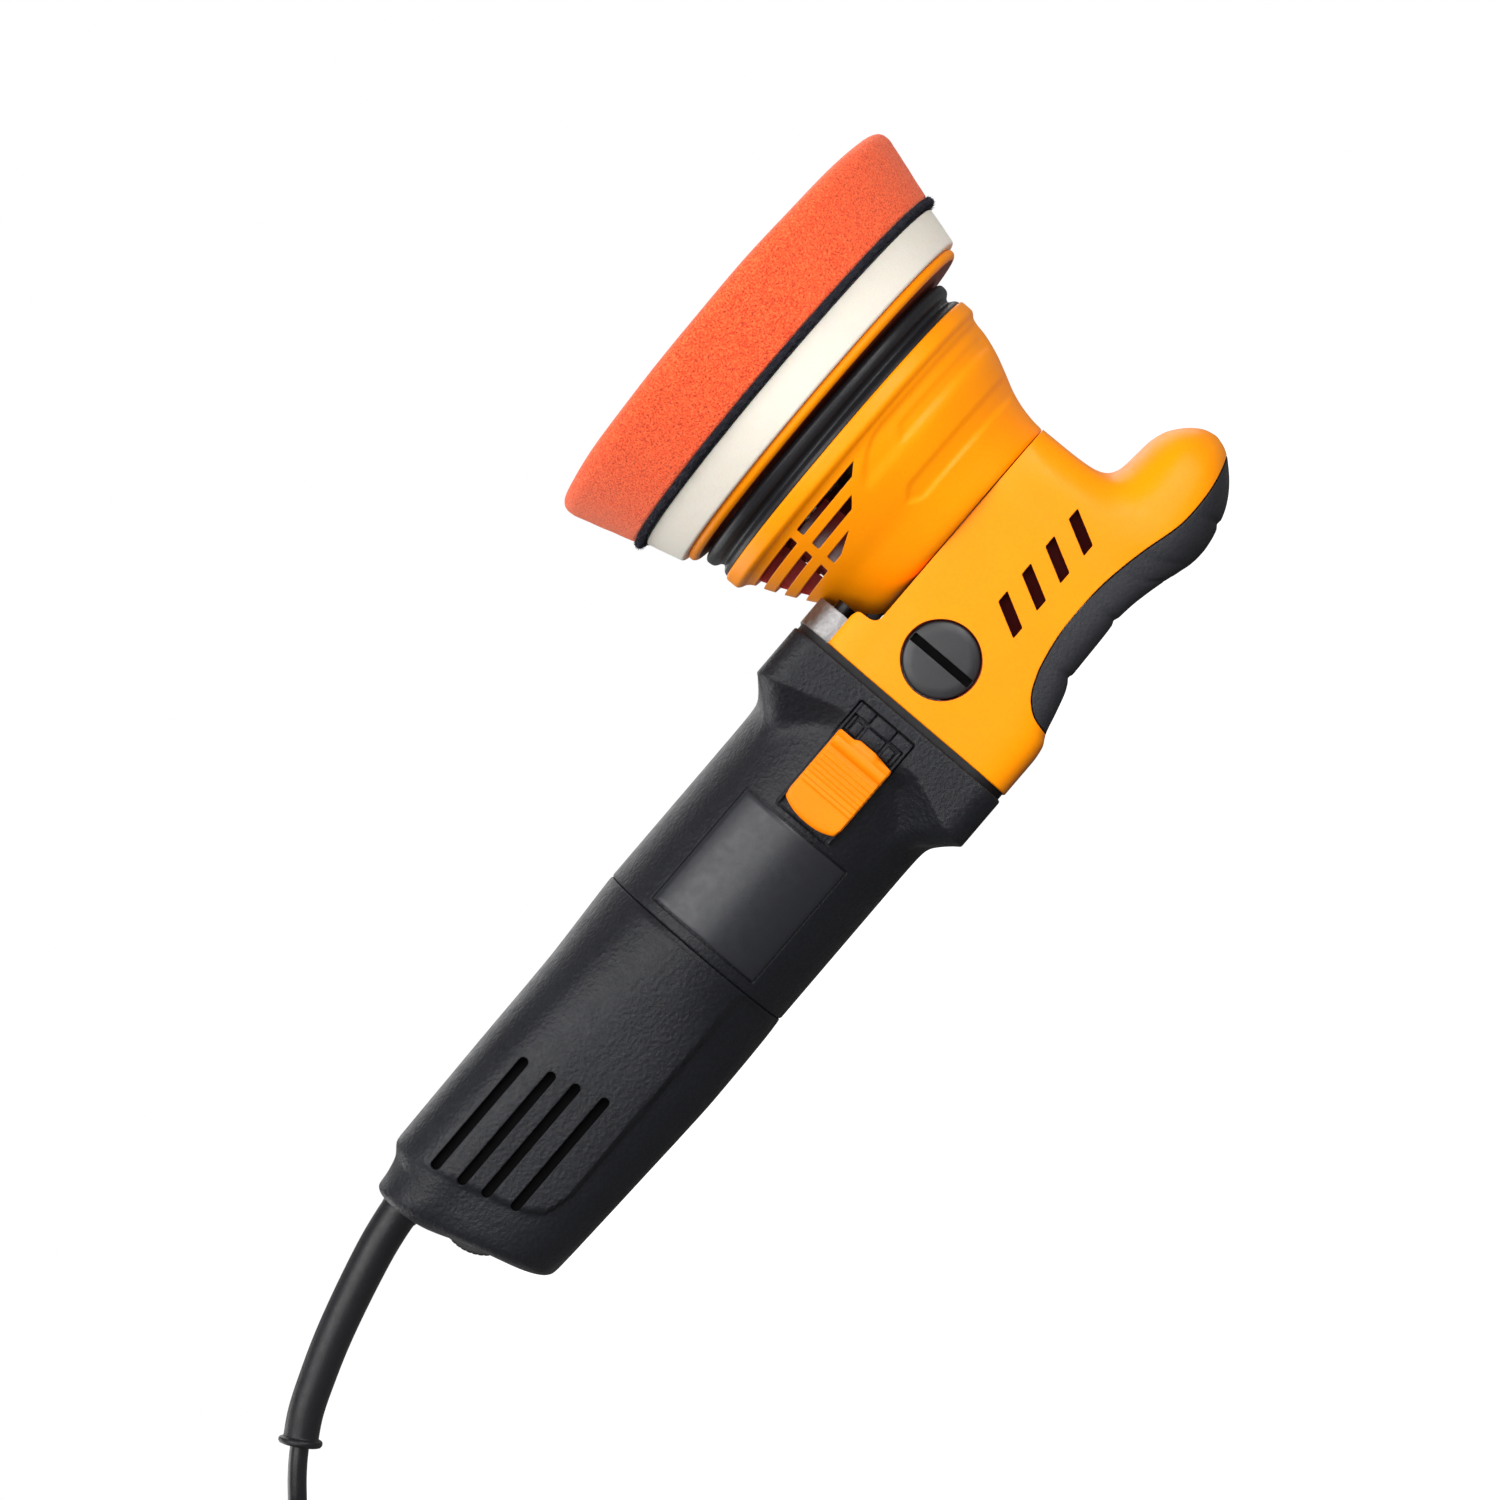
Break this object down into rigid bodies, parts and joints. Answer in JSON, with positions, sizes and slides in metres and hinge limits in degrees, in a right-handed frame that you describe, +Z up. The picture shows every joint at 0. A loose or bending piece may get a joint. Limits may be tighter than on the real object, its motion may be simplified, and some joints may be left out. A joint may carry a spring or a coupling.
{
  "type": "dual-action polisher",
  "caption": "Mains dual-action polisher: foam pad on an orbiting plate, flared shroud, head with a horn grip, barrel motor housing, slide switch, speed dial, coiled lead",
  "frame": {"origin": "middle of the tool's length, on the surface that it lies on, without its lead", "axes": "+X from the lead end to the head along the motor; +Z up from the surface to the pad's working face; +Y completes the frame, and the switch is on the -Y side"},
  "size_m": [0.5974, 0.1802, 0.1755],
  "materials": {
    "foam": "matte",
    "loop_fabric": "matte",
    "hook_nylon": "matte",
    "white_foam": "matte",
    "orange_plastic": "satin",
    "black_plastic": "matte",
    "panel_plastic": "satin",
    "dial_plastic": "matte",
    "grey_plastic": "matte",
    "fan_plastic": "matte",
    "grip_rubber": "matte",
    "black_rubber": "matte",
    "cord_pvc": "matte",
    "plug_plastic": "matte",
    "cast_aluminium": "satin",
    "steel": "satin",
    "bearing_steel": "polished",
    "screw_steel": "satin",
    "black_steel": "satin",
    "red_weight": "satin",
    "core_steel": "matte",
    "copper_wire": "satin",
    "holder_brass": "satin",
    "carbon": "matte",
    "spring_steel": "satin",
    "board": "satin",
    "components": "satin"
  },
  "bodies": {
    "tool": {"spindle_bearing": "bearing_steel", "tail_bearing": "bearing_steel", "bearing_flange": "cast_aluminium", "flange_screws": "screw_steel", "gear_housing": "cast_aluminium", "shroud": "orange_plastic", "shroud_screws": "screw_steel", "skirt_ring": "black_rubber", "head_cover": "orange_plastic", "horn_grip": "grip_rubber", "cover_screws": "screw_steel", "side_plugs": "black_plastic", "flange_gasket": "grey_plastic", "motor_housing": "black_plastic", "housing_screws": "black_steel", "label_plates": "panel_plastic", "switch_bezel": "black_plastic", "switch_body": "black_plastic", "stator_core": "core_steel", "field_coils": "copper_wire", "front_bearing": "bearing_steel", "rear_bearing": "bearing_steel", "fan_baffle": "black_plastic", "brush_holders": "holder_brass", "carbon_brushes": "carbon", "brush_springs": "spring_steel", "rear_housing": "black_plastic", "controller_board": "board", "board_parts": "components", "dial_pot": "grey_plastic", "cord_clamp": "grey_plastic", "clamp_screws": "screw_steel", "cord_boot": "cord_pvc", "cord_run": "cord_pvc", "cord_coil": "cord_pvc", "coil_tie": "black_plastic", "plug": "plug_plastic"},
    "spindle": {"main_spindle": "steel", "crown_gear": "steel", "eccentric": "cast_aluminium", "eccentric_screw": "screw_steel", "balance_weight": "red_weight", "weight_screws": "screw_steel", "pad_bearings": "bearing_steel"},
    "pad": {"foam_pad": "foam", "pad_loop": "loop_fabric", "hook_sheet": "hook_nylon", "plate_cushion": "white_foam", "backing_plate": "orange_plastic", "plate_insert": "cast_aluminium", "plate_screw": "screw_steel", "pad_spindle": "steel"},
    "armature": {"armature_shaft": "steel", "armature_core": "core_steel", "armature_windings": "copper_wire", "commutator": "copper_wire", "cooling_fan": "fan_plastic"},
    "switch": {"switch_slider": "orange_plastic", "switch_rod": "grey_plastic"},
    "dial": {"speed_dial": "dial_plastic"}
  },
  "joints": [
    {"name": "spindle_spin", "type": "hinge", "parent": "tool", "child": "spindle", "pos_m": [0.10215, 0, 0.06], "axis": [0, 0, 1], "continuous": true},
    {"name": "armature_spin", "type": "hinge", "parent": "tool", "child": "armature", "pos_m": [0.00215, 0, 0.0445], "axis": [1, 0, 0], "continuous": true},
    {"name": "pad_spin", "type": "hinge", "parent": "spindle", "child": "pad", "pos_m": [0.10615, 0, 0.1], "axis": [0, 0, 1], "continuous": true},
    {"name": "switch_slide", "type": "slide", "parent": "tool", "child": "switch", "axis": [1, 0, 0], "range_m": [0, 0.009]},
    {"name": "dial_turn", "type": "hinge", "parent": "tool", "child": "dial", "pos_m": [-0.16935, 0, 0.0413], "axis": [0, 1, 0], "range_deg": [-135, 135]}
  ],
  "couplings": [
    {"joint": "armature_spin", "follows": "spindle_spin", "ratio": 4.3333}
  ]
}
